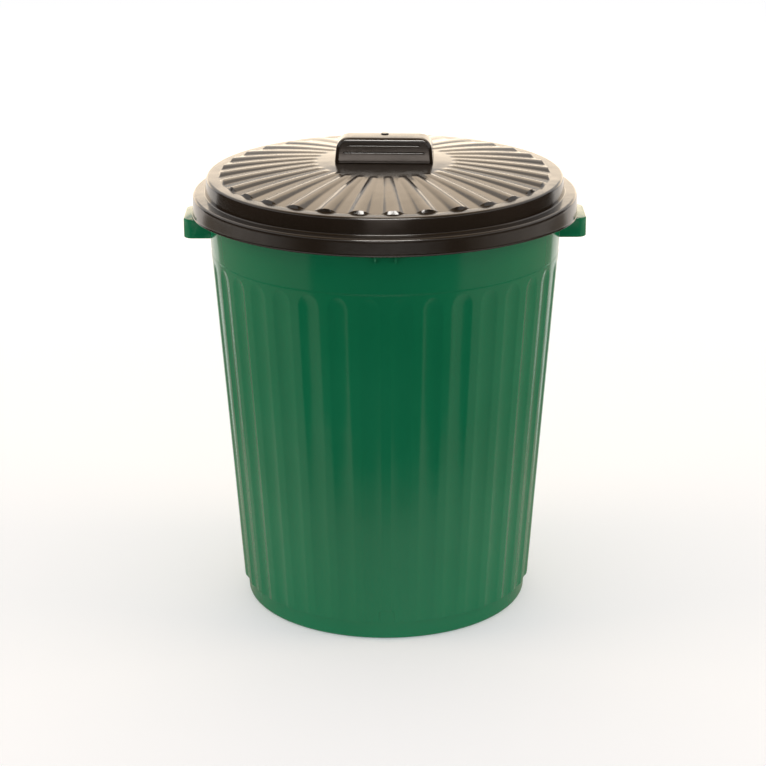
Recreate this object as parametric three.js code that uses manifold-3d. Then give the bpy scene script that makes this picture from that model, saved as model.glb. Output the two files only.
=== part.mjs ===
// A round plastic refuse bin with a lift-off lid: a tapered, fluted bin with a clip-on handle on
// each side, and a domed lid with radial ridges and a clip-on grip in its middle.
// Millimetres, +Z up, the origin in the middle of the foot ring, the handles on the X axis.

import * as THREE from 'three';
import { mergeVertices } from 'three/addons/utils/BufferGeometryUtils.js';
import Module from 'manifold-3d';

// ---------------------------------------------------------------------------------------------
// Driving dimensions

const seatGap = 0.3;             // between pieces that rest on each other

// Bin
const binHeight = 561.9;         // up to the top of the rim
const footRadius = 195.3;        // of the wall's outside, if it ran down to the floor
const draft = 0.0733;            // how much the radius grows for each millimetre of height
const binWall = 2.8;
const floorHeight = 5;           // the floor's underside stands this high inside the foot ring
const footCorner = 7;            // radius where the wall turns into the foot ring
const footRingWidth = 10;
const bandHeight = 26;           // the smooth band below the flutes
const bandEdge = 2;              // height over which the lands step out above the band
const bandStep = 2.6;            // how far the band stands back from the flutes' floors
const fluteCount = 36;
const fluteDepth = 2.2;
const landShare = 0.33;          // the share of each pitch that stands proud
const collarHeight = 76.9;       // from the edge above the flutes to the rim's top
const collarStep = 0.5;          // the collar stands back this far from the lands
const fluteMargin = 3;           // from the top of each flute's arch to the collar's edge
const fluteArch = 18;            // height of that arch
const rimReach = 11.4;           // how far the rim turns out from the collar
const rimThickness = 3;
const apronDepth = 14;           // how far the rim's edge turns down
const rimOuterRound = 2;
const rimInnerRound = 3;
const gussetThickness = 3;
const gussetDepth = 34;          // below the rim's top
const gussetSlant = 5;           // how much its bottom edge rises towards the rim
const gussetSpacing = 25.5;
const markWidth = 21;            // small arch at the foot of the front land
const markHeight = 19;           // above the band
const markCorner = 5;

// Lid
const lidWall = 2.4;
const lidTurn = -3;              // degrees that the lid sits turned on the bin
const skirtClearance = 3.6;      // around the rim
const skirtDepth = 20.6;
const skirtFlare = 0.7;
const skirtDip = 8.6;            // how much deeper the skirt is over each side handle
const lipReach = 0.9;            // of the small lip along the skirt's bottom edge
const lipHeight = 2;
const flangeWidth = 16.3;        // from the skirt's top edge in to the raised ring
const ringHeight = 22.4;         // of the raised ring above the flange
const ringDraft = 1.8;
const ringWidth = 16.5;          // flat top of the raised ring
const ringFillet = 2;            // where the raised ring stands on the flange
const edgeRound = 4;
const domeRise = 17.5;           // of the middle above the raised ring
const discRadius = 70;           // flat middle that carries the grip
const ridgeMargin = 18;          // from the flat middle to where the ridges begin
const ridgeEnd = 1.5;            // length of a ridge's steep outer end
const ridgeCount = 32;
const ridgeHeight = 4.5;
const ridgeShare = 0.58;         // the share of each pitch that a ridge takes

// Grip on the lid
const gripLength = 129;
const gripDepth = 48;
const gripHeight = 32.4;
const gripSideLean = 3;          // drawn in at each end, from foot to top
const gripFaceLean = 6.5;        // drawn in at each long face
const gripEndRound = 14;         // top corners, seen from the front
const gripTopRound = 4.5;        // top edges of the long faces
const gripCorner = 5;            // upright corners
const gripWall = 3;
const gateRadius = 5;            // of the small round moulding mark on the grip's top
const gateHeight = 1.2;
const gateBack = 9;              // of that mark's centre behind the grip's middle
const grooveRadius = 1.5;        // of the finger grooves along both faces
const upperGroove = { height: 22.5, length: 93 };
const lowerGroove = { height: 13.5, length: 105 };

// Side handles
const handleLength = 76;
const handleReach = 31.2;        // beyond the wall
const handleHeight = 26;
const handleWall = 3;
const handleCorner = 12;
const handleEdge = 1.6;          // bevel round the top and bottom edges
const handleClearance = 1.4;     // below the lid's skirt

// Clips that hold the handles and the grip
const clipThickness = 3;
const clipWidth = 12;
const clipHook = 1.8;
const clipHookFlat = 1.5;        // length of the hook's tip
const clipNose = 6;              // from the hook's face to the clip's end
const clipSlack = 0.6;           // between a handle's hooks and the wall's inside
const clipPlay = 0.4;            // around a clip in its slot
const handleClipSpacing = 44;
const gripClipSpacing = 64;

// ---------------------------------------------------------------------------------------------
// Colours

const green = new THREE.MeshStandardMaterial({ color: 0x1f6a48, roughness: 0.32, metalness: 0 });
const black = new THREE.MeshStandardMaterial({ color: 0x211d1a, roughness: 0.35, metalness: 0 });

// ---------------------------------------------------------------------------------------------
// Solids

const wasm = await Module();
wasm.setup();

function toSolid(geometry) {
  const bare = geometry.clone();
  bare.deleteAttribute('normal');
  bare.deleteAttribute('uv');
  const merged = mergeVertices(bare, 1e-4);
  return new wasm.Manifold(new wasm.Mesh({
    numProp: 3,
    vertProperties: new Float32Array(merged.attributes.position.array),
    triVerts: new Uint32Array(merged.index.array),
  }));
}

function toMesh(name, solid, material) {
  const { vertProperties, triVerts } = solid.getMesh();
  const geometry = new THREE.BufferGeometry();
  geometry.setAttribute('position', new THREE.BufferAttribute(vertProperties, 3));
  geometry.setIndex(new THREE.BufferAttribute(triVerts, 1));
  geometry.computeVertexNormals();
  const mesh = new THREE.Mesh(geometry, material);
  mesh.name = name;
  return mesh;
}

function box(low, high) {
  const size = high.map((value, axis) => value - low[axis]);
  const middle = high.map((value, axis) => (value + low[axis]) / 2);
  return toSolid(new THREE.BoxGeometry(...size).translate(...middle));
}

function evenAngles(count) {
  return Array.from({ length: count }, (_, i) => (i / count) * 2 * Math.PI);
}

// Angles that repeat around the circle, from their places in one pitch, given as shares of it.
function pitchedAngles(count, places) {
  const pitch = (2 * Math.PI) / count;
  return Array.from({ length: count }, (_, i) => places.map((place) => (i + place) * pitch)).flat();
}

// A closed skin through a row of rings that starts and ends with a point on the axis. A ring is
// { angles, at(angle) => [radius, z] }. Neighbouring rings may have different numbers of points.
function skin(rings) {
  const points = [];
  const triangles = [];
  const rows = rings.map((ring) => ring.angles.map((angle) => {
    const [radius, z] = ring.at(angle);
    points.push(radius * Math.cos(angle), radius * Math.sin(angle), z);
    return points.length / 3 - 1;
  }));
  const fullTurn = 2 * Math.PI;
  const angleOf = (ring, i) => (i < ring.angles.length ? ring.angles[i] : ring.angles[0] + fullTurn);
  for (let k = 0; k + 1 < rings.length; k += 1) {
    const [lower, upper] = [rings[k], rings[k + 1]];
    const [lowRow, highRow] = [rows[k], rows[k + 1]];
    const [lowCount, highCount] = [lowRow.length, highRow.length];
    const lowSteps = lowCount > 1 ? lowCount : 0;
    const highSteps = highCount > 1 ? highCount : 0;
    let i = 0;
    let j = 0;
    while (i < lowSteps || j < highSteps) {
      const nextLow = i < lowSteps ? angleOf(lower, i + 1) : Infinity;
      const nextHigh = j < highSteps ? angleOf(upper, j + 1) : Infinity;
      if (nextLow <= nextHigh) {
        triangles.push(lowRow[i % lowCount], lowRow[(i + 1) % lowCount], highRow[j % highCount]);
        i += 1;
      } else {
        triangles.push(lowRow[i % lowCount], highRow[(j + 1) % highCount], highRow[j % highCount]);
        j += 1;
      }
    }
  }
  const geometry = new THREE.BufferGeometry();
  geometry.setAttribute('position', new THREE.Float32BufferAttribute(points, 3));
  geometry.setIndex(triangles);
  return geometry;
}

const pole = (z) => ({ angles: [0], at: () => [0, z] });
const circle = (radius, z, angles) => ({ angles, at: () => [radius, z] });

// The points of a rounded corner, turning from one direction to the other about its centre.
function cornerPoints(centreRadius, centreZ, round, fromDegrees, toDegrees, steps) {
  return Array.from({ length: steps + 1 }, (_, i) => {
    const turn = THREE.MathUtils.degToRad(fromDegrees + ((toDegrees - fromDegrees) * i) / steps);
    return [centreRadius + round * Math.cos(turn), centreZ + round * Math.sin(turn)];
  });
}

// ---------------------------------------------------------------------------------------------
// Bin

const landRadius = (z) => footRadius + draft * z;
const floorRadius = (z) => landRadius(z) - fluteDepth;
const bandRadius = (z) => floorRadius(z) - bandStep;
const collarRadius = (z) => landRadius(z) - collarStep;
const collarStart = binHeight - collarHeight;
const fluteTop = collarStart - fluteMargin;
const rimRadius = collarRadius(binHeight) + rimReach;
const roundAngles = evenAngles(72);
const flutePlaces = [-landShare / 2, landShare / 2, 0.34, 0.5, 0.66];
const fluteAngles = pitchedAngles(fluteCount, flutePlaces);

// How deep the wall lies below its lands at an angle and a height: 0 on a land, 1 in mid-flute.
function fluteShape(angle, z) {
  const turns = (angle / (2 * Math.PI)) * fluteCount;
  const fromMiddle = Math.abs(turns - Math.floor(turns) - 0.5);
  const across = Math.min(1, fromMiddle / ((1 - landShare) / 2));
  const up = Math.max(0, (z - (fluteTop - fluteArch)) / fluteArch);
  return Math.max(0, 1 - across ** 2 - up ** 2);
}

const flutedRing = (z, inset) => ({
  angles: fluteAngles,
  at: (angle) => [landRadius(z) - inset - fluteDepth * fluteShape(angle, z), z],
});

function makeBinWall() {
  const archHeights = [0, 0.7, 1].map((share) => fluteTop - fluteArch * (1 - share));
  const footBottom = bandRadius(footCorner) - footCorner;
  const apronBottom = binHeight - apronDepth;
  const underRim = binHeight - rimThickness;
  const round = (radius, z) => circle(radius, z, roundAngles);
  const outside = [
    pole(floorHeight),
    round(footBottom - footRingWidth - floorHeight, floorHeight),
    round(footBottom - footRingWidth, 0),
    ...cornerPoints(footBottom, footCorner, footCorner, -90, 0, 2).map((p) => round(...p)),
    round(bandRadius(bandHeight), bandHeight),
    flutedRing(bandHeight + bandEdge, 0),
    ...archHeights.map((z) => flutedRing(z, 0)),
    circle(landRadius(collarStart), collarStart, fluteAngles),
    circle(collarRadius(collarStart), collarStart + collarStep, roundAngles),
    round(collarRadius(underRim), underRim),
    round(rimRadius - rimThickness, underRim),
    round(rimRadius - rimThickness, apronBottom),
    round(rimRadius, apronBottom),
    ...cornerPoints(rimRadius - rimOuterRound, binHeight - rimOuterRound, rimOuterRound, 0, 90, 2)
      .map((p) => round(...p)),
  ];
  const lipRadius = collarRadius(binHeight) - binWall + rimInnerRound;
  const inside = [
    ...cornerPoints(lipRadius, binHeight - rimInnerRound, rimInnerRound, 90, 180, 2)
      .map((p) => round(...p)),
    round(collarRadius(collarStart) - binWall, collarStart + collarStep),
    circle(landRadius(collarStart) - binWall, collarStart - binWall / 2, fluteAngles),
    ...archHeights.toReversed().map((z) => flutedRing(z, binWall)),
    flutedRing(bandHeight + bandEdge + binWall, binWall),
    round(bandRadius(bandHeight) - binWall, bandHeight),
    ...cornerPoints(footBottom - binWall, footCorner + floorHeight, footCorner, 0, -90, 2)
      .map(([radius, z]) => round(radius, z + binWall)),
    pole(floorHeight + binWall),
  ];
  return toSolid(skin([...outside, ...inside]));
}

// A solid of turned shape between two heights, from its radius at each height.
function coneBody(radiusAt, low, high) {
  return toSolid(skin([
    pole(low),
    circle(radiusAt(low), low, roundAngles),
    circle(radiusAt(high), high, roundAngles),
    pole(high),
  ]));
}

// The small arch at the foot of the front land, where the wall steps back to the flutes' floors.
function addFootMark(bin) {
  const half = markWidth / 2;
  const top = bandHeight + markHeight;
  const arch = new THREE.Shape();
  arch.moveTo(-half, bandHeight);
  arch.lineTo(half, bandHeight);
  arch.absarc(half - markCorner, top - markCorner, markCorner, 0, Math.PI / 2);
  arch.absarc(-half + markCorner, top - markCorner, markCorner, Math.PI / 2, Math.PI);
  arch.closePath();
  const reach = 2 * (fluteDepth + binWall);
  const prism = toSolid(new THREE.ExtrudeGeometry(arch, {
    depth: 2 * reach,
    bevelEnabled: false,
    curveSegments: 3,
  }).rotateX(Math.PI / 2).translate(0, reach - floorRadius(bandHeight), 0));
  const stepBack = coneBody(floorRadius, 0, 2 * top);
  const hollow = coneBody((z) => floorRadius(z) - binWall, 0, 2 * top);
  return bin.subtract(prism.subtract(stepBack)).add(prism.intersect(stepBack).subtract(hollow));
}

// Two short ribs between the collar and the rim's turned-down edge, at the front and the back.
function makeGussets() {
  const outline = new THREE.Shape();
  const wallAt = (z) => collarRadius(z) - binWall / 2;
  const low = binHeight - gussetDepth;
  const top = binHeight - rimThickness / 2;
  const outer = rimRadius - rimThickness / 2;
  outline.moveTo(wallAt(low), low);
  outline.lineTo(outer, low + gussetSlant);
  outline.lineTo(outer, top);
  outline.lineTo(wallAt(top), top);
  outline.closePath();
  const plate = new THREE.ExtrudeGeometry(outline, { depth: gussetThickness, bevelEnabled: false })
    .translate(0, 0, -gussetThickness / 2)
    .rotateX(Math.PI / 2);
  const places = [];
  for (const quarter of [-Math.PI / 2, Math.PI / 2]) {
    for (const side of [-gussetSpacing / 2, gussetSpacing / 2]) {
      const gusset = plate.clone().rotateZ(quarter).translate(side, 0, 0);
      places.push(toSolid(gusset));
    }
  }
  return places;
}

// ---------------------------------------------------------------------------------------------
// Side handles: each is a box that is open below for the fingers, held by two clips that go
// through slots in the wall.

const skirtTopRadius = rimRadius + skirtClearance + lidWall;
const flangeZ = binHeight + seatGap + lidWall;
const skirtBottomZ = flangeZ - skirtDepth;
const handleTopZ = skirtBottomZ - skirtDip - handleClearance;
const handleBottomZ = handleTopZ - handleHeight;
const clipZ = (handleTopZ + handleBottomZ) / 2;
const handleEnd = collarRadius(handleTopZ) + handleReach;

// The bin's outside as a solid, grown by a gap, to shape what lies against the wall.
function collarBody(grow) {
  return coneBody((z) => collarRadius(z) + grow, handleBottomZ - handleHeight, handleTopZ + handleHeight);
}

function handlePlan(inset, corner) {
  const half = handleLength / 2 - inset;
  const end = handleEnd - inset;
  const start = collarRadius(handleBottomZ) - handleReach;
  const plan = new THREE.Shape();
  plan.moveTo(start, -half);
  plan.lineTo(end - corner, -half);
  plan.absarc(end - corner, -half + corner, corner, -Math.PI / 2, 0);
  plan.lineTo(end, half - corner);
  plan.absarc(end - corner, half - corner, corner, 0, Math.PI / 2);
  plan.lineTo(start, half);
  plan.closePath();
  return plan;
}

function makeHandleShell() {
  const outer = new THREE.ExtrudeGeometry(handlePlan(handleEdge, handleCorner - handleEdge), {
    depth: handleHeight - 2 * handleEdge,
    bevelThickness: handleEdge,
    bevelSize: handleEdge,
    bevelSegments: 2,
    curveSegments: 6,
  }).translate(0, 0, handleBottomZ + handleEdge);
  const hollow = new THREE.ExtrudeGeometry(handlePlan(handleWall, handleCorner - handleWall), {
    depth: handleHeight,
    bevelEnabled: false,
    curveSegments: 6,
  }).translate(0, 0, handleBottomZ - handleWall);
  const fingerSpace = toSolid(hollow).subtract(collarBody(seatGap + handleWall));
  return toSolid(outer).subtract(collarBody(seatGap)).subtract(fingerSpace);
}

// A flat tongue along -X from its root to its hook, whose face is at x = -grip.
function makeClip(root, grip, hookSide) {
  const halfThick = clipThickness / 2;
  const hookTip = hookSide * (halfThick + clipHook);
  const side = new THREE.Shape();
  side.moveTo(root, -hookSide * halfThick);
  side.lineTo(-grip - clipNose, -hookSide * halfThick);
  side.lineTo(-grip - clipNose, hookSide * halfThick);
  side.lineTo(-grip - clipHookFlat, hookTip);
  side.lineTo(-grip, hookTip);
  side.lineTo(-grip, hookSide * halfThick);
  side.lineTo(root, hookSide * halfThick);
  side.closePath();
  return new THREE.ExtrudeGeometry(side, { depth: clipWidth, bevelEnabled: false })
    .translate(0, 0, -clipWidth / 2);
}

const handleClipPlaces = [-handleClipSpacing / 2, handleClipSpacing / 2];
const wallAtClip = Math.sqrt(collarRadius(clipZ) ** 2 - (handleClipSpacing / 2) ** 2);
const slotReach = 4 * binWall;   // of a slot's cut to either side of the wall's outside

function handleClip(y) {
  const clip = makeClip(handleWall, binWall + clipSlack + seatGap, 1);
  return toSolid(clip.rotateX(Math.PI / 2).translate(wallAtClip, y, clipZ));
}

function handleSlot(y) {
  return box(
    [wallAtClip - slotReach, y - clipWidth / 2 - clipPlay, clipZ - clipThickness / 2 - clipHook - clipPlay],
    [wallAtClip + slotReach, y + clipWidth / 2 + clipPlay, clipZ + clipThickness / 2 + clipPlay],
  );
}

function makeHandle() {
  return handleClipPlaces.reduce((solid, y) => solid.add(handleClip(y)), makeHandleShell());
}

function makeBin() {
  let bin = addFootMark(makeBinWall());
  for (const gusset of makeGussets()) {
    bin = bin.add(gusset);
  }
  for (const y of handleClipPlaces) {
    const slot = handleSlot(y);
    bin = bin.subtract(slot).subtract(slot.rotate([0, 0, 180]));
  }
  return bin;
}

// ---------------------------------------------------------------------------------------------
// Lid

const lidAngles = pitchedAngles(ridgeCount, [0.5 - ridgeShare / 2, 0.38, 0.62, 0.5 + ridgeShare / 2]);
const edgeAngles = evenAngles(96);
const ringFootRadius = skirtTopRadius - flangeWidth;
const ringTopZ = flangeZ + ringHeight;
const panelRadius = ringFootRadius - ringDraft - ringWidth;
const ridgeInner = discRadius + ridgeMargin;
const discZ = ringTopZ + domeRise;

// A ring of the skirt, which is deeper over the two side handles.
const skirtRing = (radius, z, dip) => ({
  angles: edgeAngles,
  at: (angle) => [radius, z - dip * Math.abs(Math.cos(angle)) ** 10],
});

// The dome that the ridges stand on, from the flat disc in the middle to the raised ring.
function domeHeight(radius) {
  const share = (radius ** 2 - discRadius ** 2) / (panelRadius ** 2 - discRadius ** 2);
  return discZ - domeRise * Math.max(0, share);
}

function ridgeShape(angle) {
  const turns = (angle / (2 * Math.PI)) * ridgeCount;
  const fromMiddle = Math.abs(turns - Math.floor(turns) - 0.5) / (ridgeShare / 2);
  return Math.max(0, 1 - fromMiddle ** 2);
}

const ridgeRing = (radius, drop, height) => ({
  angles: lidAngles,
  at: (angle) => [radius, domeHeight(radius) - drop + height * ridgeShape(angle)],
});

// Radii along a ridge and its height there, as shares of its full height: the ridge is highest at
// its outer end and fades into the flat middle.
function ridgeStations() {
  const span = panelRadius - ridgeInner;
  return [
    [panelRadius - ridgeEnd, 1],
    [ridgeInner + span * 0.6, 0.68],
    [ridgeInner + span * 0.08, 0.4],
    [ridgeInner, 0],
  ];
}

function makeLidShell() {
  const full = (radius, z) => circle(radius, z, edgeAngles);
  const ringTopRadius = ringFootRadius - ringDraft;
  const innerFoot = ringFootRadius - lidWall;
  const skirtFoot = skirtTopRadius + skirtFlare;
  const top = [
    skirtRing(skirtFoot + lipReach, skirtBottomZ, skirtDip),
    skirtRing(skirtFoot, skirtBottomZ + lipHeight, skirtDip),
    ...cornerPoints(skirtTopRadius - edgeRound, flangeZ - edgeRound, edgeRound, 0, 90, 2)
      .map((p) => full(...p)),
    full(ringFootRadius + ringFillet, flangeZ),
    full(ringFootRadius, flangeZ + ringFillet),
    ...cornerPoints(ringTopRadius - edgeRound, ringTopZ - edgeRound, edgeRound, 0, 90, 2)
      .map((p) => full(...p)),
    circle(panelRadius, ringTopZ, lidAngles),
    ...ridgeStations().map(([radius, share]) => ridgeRing(radius, 0, ridgeHeight * share)),
    circle(discRadius, discZ, lidAngles),
    pole(discZ),
  ];
  const underside = [
    pole(discZ - lidWall),
    circle(discRadius, discZ - lidWall, lidAngles),
    ...ridgeStations().toReversed()
      .map(([radius, share]) => ridgeRing(radius - ridgeEnd, lidWall, ridgeHeight * share)),
    full(ringTopRadius - edgeRound, ringTopZ - lidWall),
    full(ringTopRadius - lidWall, ringTopZ - edgeRound),
    full(innerFoot, flangeZ - lidWall),
    full(skirtTopRadius - edgeRound, flangeZ - lidWall),
    full(skirtTopRadius - lidWall, flangeZ - edgeRound),
    skirtRing(skirtFoot - lidWall, skirtBottomZ, skirtDip),
  ];
  return toSolid(skin([...underside, ...top]));
}

// ---------------------------------------------------------------------------------------------
// Grip

const gripZ = discZ + seatGap;

// A rounded rectangle as a ring of points, from its half sizes and corner radius.
function gripOutline(halfLength, halfDepth, corner, z) {
  const points = [];
  const steps = 3;
  const centres = [[1, 1], [-1, 1], [-1, -1], [1, -1]];
  centres.forEach(([sx, sy], quarter) => {
    for (let i = 0; i <= steps; i += 1) {
      const turn = (quarter + i / steps) * (Math.PI / 2);
      points.push([
        sx * (halfLength - corner) + corner * Math.cos(turn),
        sy * (halfDepth - corner) + corner * Math.sin(turn),
        z,
      ]);
    }
  });
  return points;
}

// Half length and half depth of the grip at a height above its foot.
function gripSize(height) {
  const endStart = gripHeight - gripEndRound;
  const topStart = gripHeight - gripTopRound;
  const leanShare = height / gripHeight;
  const endDrop = Math.max(0, height - endStart) / gripEndRound;
  const topDrop = Math.max(0, height - topStart) / gripTopRound;
  const drawnIn = (round, share) => round * (1 - Math.sqrt(Math.max(0, 1 - share ** 2)));
  return [
    gripLength / 2 - gripSideLean * leanShare - drawnIn(gripEndRound, endDrop),
    gripDepth / 2 - gripFaceLean * leanShare - drawnIn(gripTopRound, topDrop),
  ];
}

// A closed solid through a stack of outlines with the same number of points.
function loft(outlines) {
  const count = outlines[0].length;
  const points = outlines.flat();
  const triangles = [];
  for (let k = 0; k + 1 < outlines.length; k += 1) {
    for (let i = 0; i < count; i += 1) {
      const next = (i + 1) % count;
      const [a, b] = [k * count + i, k * count + next];
      const [c, d] = [a + count, b + count];
      triangles.push(a, b, d, a, d, c);
    }
  }
  const last = (outlines.length - 1) * count;
  for (let i = 1; i + 1 < count; i += 1) {
    triangles.push(0, i + 1, i, last, last + i, last + i + 1);
  }
  const geometry = new THREE.BufferGeometry();
  geometry.setAttribute('position', new THREE.Float32BufferAttribute(points.flat(), 3));
  geometry.setIndex(triangles);
  return toSolid(geometry);
}

function gripBlock(inset, foot, top) {
  const span = top - foot;
  const heights = [0, 0.56, 0.68, 0.78, 0.86, 0.93, 0.975, 1].map((share) => foot + span * share);
  return loft(heights.map((height) => {
    const [halfLength, halfDepth] = gripSize(Math.max(0, Math.min(gripHeight, height)));
    return gripOutline(halfLength - inset, halfDepth - inset, gripCorner, gripZ + height);
  }));
}

function gripGroove({ height, length }, side) {
  const [, halfDepth] = gripSize(height);
  const bar = new THREE.CapsuleGeometry(grooveRadius, length - 2 * grooveRadius, 3, 8)
    .rotateZ(Math.PI / 2)
    .translate(0, side * halfDepth, gripZ + height);
  return toSolid(bar);
}

const gripClipPlaces = [-gripClipSpacing / 2, gripClipSpacing / 2];

function gripClip(x) {
  const clip = makeClip(gripHeight - gripWall / 2, lidWall + 2 * seatGap, Math.sign(x));
  return toSolid(clip.rotateX(Math.PI / 2).rotateY(-Math.PI / 2).translate(x, 0, gripZ));
}

function gripSlot(x) {
  const outward = Math.sign(x);
  const near = x + outward * (clipThickness / 2 + clipPlay);
  const far = x - outward * (clipThickness / 2 + clipHook + clipPlay);
  const halfWidth = clipWidth / 2 + clipPlay;
  return box(
    [Math.min(near, far), -halfWidth, discZ - slotReach],
    [Math.max(near, far), halfWidth, discZ + slotReach],
  );
}

// The small round mark that moulding leaves on the grip's top.
function gateMark() {
  const disc = new THREE.CylinderGeometry(gateRadius, gateRadius, 2 * gateHeight, 12)
    .rotateX(Math.PI / 2)
    .translate(0, gateBack, gripZ + gripHeight);
  return toSolid(disc);
}

function makeGrip() {
  let grip = gripBlock(0, 0, gripHeight).add(gateMark());
  grip = grip.subtract(gripBlock(gripWall, -gripWall, gripHeight - gripWall));
  for (const side of [-1, 1]) {
    grip = grip.subtract(gripGroove(upperGroove, side)).subtract(gripGroove(lowerGroove, side));
  }
  return gripClipPlaces.reduce((solid, x) => solid.add(gripClip(x)), grip);
}

function makeLid() {
  return gripClipPlaces.reduce((solid, x) => solid.subtract(gripSlot(x)), makeLidShell());
}

// ---------------------------------------------------------------------------------------------
// Assembly

const bin = new THREE.Group();
bin.add(toMesh('bin_body', makeBin(), green));
for (const [name, turn] of [['side_handle_right', 0], ['side_handle_left', Math.PI]]) {
  const handle = toMesh(name, makeHandle(), green);
  handle.rotation.z = turn;
  bin.add(handle);
}

const lid = new THREE.Group();
lid.rotation.z = THREE.MathUtils.degToRad(lidTurn);
lid.add(toMesh('lid', makeLid(), black));
lid.add(toMesh('lid_grip', makeGrip(), black));

const refuseBin = new THREE.Group();
refuseBin.add(bin, lid);

export default refuseBin;
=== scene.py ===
"""A round green refuse bin with fluted walls, two side handles and a black ridged lid with a grip.

Lengths are in metres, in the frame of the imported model: +Z up, the front towards -Y. Sizes that the
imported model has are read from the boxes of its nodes, and the rest are named below.
"""

import math

import bmesh
import bpy
import numpy as np
from mathutils import Matrix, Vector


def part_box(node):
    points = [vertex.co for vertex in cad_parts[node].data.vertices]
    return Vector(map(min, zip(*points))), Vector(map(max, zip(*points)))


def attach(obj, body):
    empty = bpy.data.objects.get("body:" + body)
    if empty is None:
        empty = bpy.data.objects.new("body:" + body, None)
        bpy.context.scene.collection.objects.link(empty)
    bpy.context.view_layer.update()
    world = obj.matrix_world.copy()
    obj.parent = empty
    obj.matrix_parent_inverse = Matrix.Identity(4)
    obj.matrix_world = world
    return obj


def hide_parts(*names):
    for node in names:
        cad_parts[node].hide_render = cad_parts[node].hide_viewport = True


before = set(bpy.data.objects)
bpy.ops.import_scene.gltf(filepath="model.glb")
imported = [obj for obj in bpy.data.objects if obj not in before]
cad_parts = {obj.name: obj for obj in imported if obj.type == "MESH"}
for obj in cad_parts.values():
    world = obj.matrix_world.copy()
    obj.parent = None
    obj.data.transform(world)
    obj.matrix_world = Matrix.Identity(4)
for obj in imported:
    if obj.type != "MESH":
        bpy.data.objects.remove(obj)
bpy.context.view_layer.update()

MM = 0.001
TINY = 1e-9

# ------------------------------------------------------------------------------------------------
# Sizes

_, bin_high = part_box("bin_body")
handle_low, handle_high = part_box("side_handle_right")

SEAT_GAP = 0.3 * MM

BIN_HEIGHT = bin_high.z
RIM_RADIUS = bin_high.y
FOOT_RADIUS = 195.3 * MM       # of the lands, if they ran down to the floor
DRAFT = 0.0733                 # growth of the radius with height
BIN_WALL = 2.8 * MM
FLOOR_HEIGHT = 5 * MM
FOOT_CORNER = 7 * MM
FOOT_RING_WIDTH = 10 * MM
BAND_HEIGHT = 26 * MM          # smooth band below the flutes
BAND_INSET = 4.8 * MM          # how far the band stands back from the lands
BAND_EDGE = 2 * MM             # height over which the lands step out above it
FLUTES = 36
FLUTE_STEPS = 22               # faces across a flute and its land
FLUTE_DEPTH = 2.2 * MM
LAND_SHARE = 0.33              # of a flute's pitch
COLLAR_START = BIN_HEIGHT - 76.9 * MM
FLUTE_TOP = COLLAR_START - 3 * MM
FLUTE_EDGE = 0.06              # softness of a flute's edges, as a share of its depth
FLUTE_ARCH = 18 * MM
COLLAR_STEP = 0.5 * MM
COLLAR_RISE = 3 * MM           # height over which the wall steps back above the flutes
RIM_THICKNESS = 3 * MM
RIM_OUTER_ROUND = 2 * MM
RIM_INNER_ROUND = 3 * MM
RIM_FILLET = 1.5 * MM          # in the two corners under the rim
APRON_DEPTH = 14 * MM
GUSSET_THICKNESS = 3 * MM
GUSSET_DEPTH = 34 * MM
GUSSET_SPACING = 25.5 * MM
GUSSET_SLANT = 5 * MM
MARK_WIDTH = 21 * MM           # small arch that is moulded into the foot of the front land
MARK_TOP = 45 * MM
MARK_CORNER = 5 * MM
MARK_EDGE = 0.4 * MM           # half the width over which its edge fades
MARK_STEPS = 72                # faces across the mark and a little beyond it

LID_WALL = 2.4 * MM
LID_TURN = math.radians(-3)
SKIRT_CLEARANCE = 3.6 * MM
SKIRT_DEPTH = 22.3 * MM
SKIRT_FLARE = 0.7 * MM
SKIRT_DIP = 6.9 * MM
SKIRT_DIP_POWER = 10           # of the cosine that keeps the dip over the side handles
LIP_REACH = 0.6 * MM
LIP_HEIGHT = 2 * MM
LIP_ROUND = 0.35 * MM
LIP_FLAT = 0.2                 # share of the lip's height that is as wide as its edge
FLANGE_WIDTH = 16.3 * MM
RING_HEIGHT = 22.4 * MM
RING_DRAFT = 1.8 * MM
RING_WIDTH = 16.5 * MM
RING_FILLET = 2 * MM
EDGE_ROUND = 4 * MM
DOME_RISE = 17.5 * MM
DISC_RADIUS = 70 * MM
RIDGE_INNER = 88 * MM
RIDGES = 32
RIDGE_STEPS = 24               # faces across a ridge and the gap beside it
RIDGE_HEIGHT = 3.7 * MM
RIDGE_START = 0.3              # height of a ridge near its inner end, as a share of the full one
RIDGE_GROWTH = 1.15            # power with which it grows outwards from there
RIDGE_RISE = 10 * MM           # length over which its inner end rises out of the dome
RIDGE_END = 2.5 * MM           # length of a ridge's steep outer end
RIDGE_SHARE = 0.63             # width of a ridge, as a share of the pitch
RIDGE_EDGE = 0.1               # softness of a ridge's edges, as a share of its height

GRIP_LENGTH = 129 * MM
GRIP_DEPTH = 48 * MM
GRIP_HEIGHT = 32.4 * MM
GRIP_SIDE_LEAN = 3 * MM
GRIP_FACE_LEAN = 6.5 * MM
GRIP_FACE_BULGE = 1.25         # power of the height with which the long faces lean in
GRIP_END_ROUND = 14 * MM
GRIP_TOP_ROUND = 4.5 * MM
GRIP_FOOT_ROUND = 1 * MM
GRIP_CORNER = 5 * MM
GROOVE_RADIUS = 1.5 * MM
GROOVES = ((22.5 * MM, 93 * MM), (13.5 * MM, 105 * MM))   # height above the disc, length

HANDLE_WALL = 3 * MM
HANDLE_CORNER = 12 * MM
HANDLE_EDGE = 1.6 * MM
HANDLE_MOUTH = 0.3 * MM        # height of the widened mouth of a handle's hollow
HANDLE_FLARE = 0.5 * MM        # how much wider the mouth is on each side

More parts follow.
